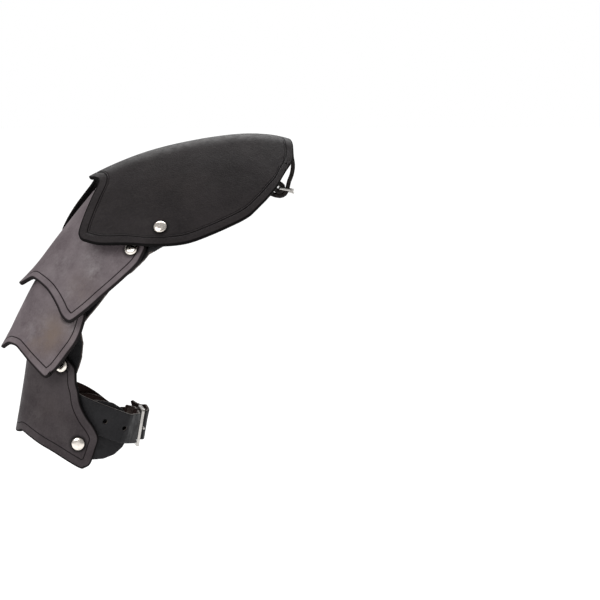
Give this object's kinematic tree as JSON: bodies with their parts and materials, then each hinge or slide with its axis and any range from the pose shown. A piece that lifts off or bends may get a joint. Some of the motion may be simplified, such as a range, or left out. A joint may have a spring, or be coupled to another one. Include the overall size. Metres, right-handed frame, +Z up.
{
  "type": "pauldron",
  "caption": "Articulated leather pauldron for the right shoulder: leaf-shaped shoulder plate, overlapping lames and arm plate on riveted straps, with buckled arm and neck straps.",
  "frame": {"origin": "under the ridge of the shoulder plate, halfway along it, where the plate rests on the shoulder", "axes": "+X towards the neck, +Y towards the wearer's back, +Z up; the plates mirror each other across Y = 0"},
  "size_m": [0.2773, 0.1848, 0.301],
  "materials": {
    "plate_leather": "near-black tooled leather with a low sheen",
    "lame_leather": "charcoal-grey leather, lightly mottled",
    "strap_leather": "black strap leather, matt",
    "nickel": "bright nickel-plated steel"
  },
  "bodies": {
    "root": {"shoulder_plate": "plate_leather", "upper_lame": "lame_leather", "middle_lame": "lame_leather", "arm_plate": "plate_leather", "rivet_shoulder_front": "nickel", "rivet_shoulder_back": "nickel", "rivet_upper_lame_front": "nickel", "rivet_upper_lame_back": "nickel", "rivet_middle_lame_front": "nickel", "rivet_middle_lame_back": "nickel", "rivet_arm_upper_front": "nickel", "rivet_arm_upper_back": "nickel", "rivet_arm_lower_front": "nickel", "rivet_arm_lower_back": "nickel", "articulation_strap_front": "strap_leather", "articulation_strap_back": "strap_leather", "strap_tab_front": "strap_leather", "strap_tab_back": "strap_leather", "tab_rivet_front": "nickel", "tab_rivet_back": "nickel", "arm_strap_tongue": "strap_leather", "arm_strap_holder": "strap_leather", "arm_buckle_frame": "nickel", "arm_buckle_prong": "nickel", "neck_strap_tongue": "strap_leather", "neck_strap_holder": "strap_leather", "neck_strap_post": "nickel", "neck_buckle_frame": "nickel", "neck_buckle_prong": "nickel"}
  },
  "joints": []
}
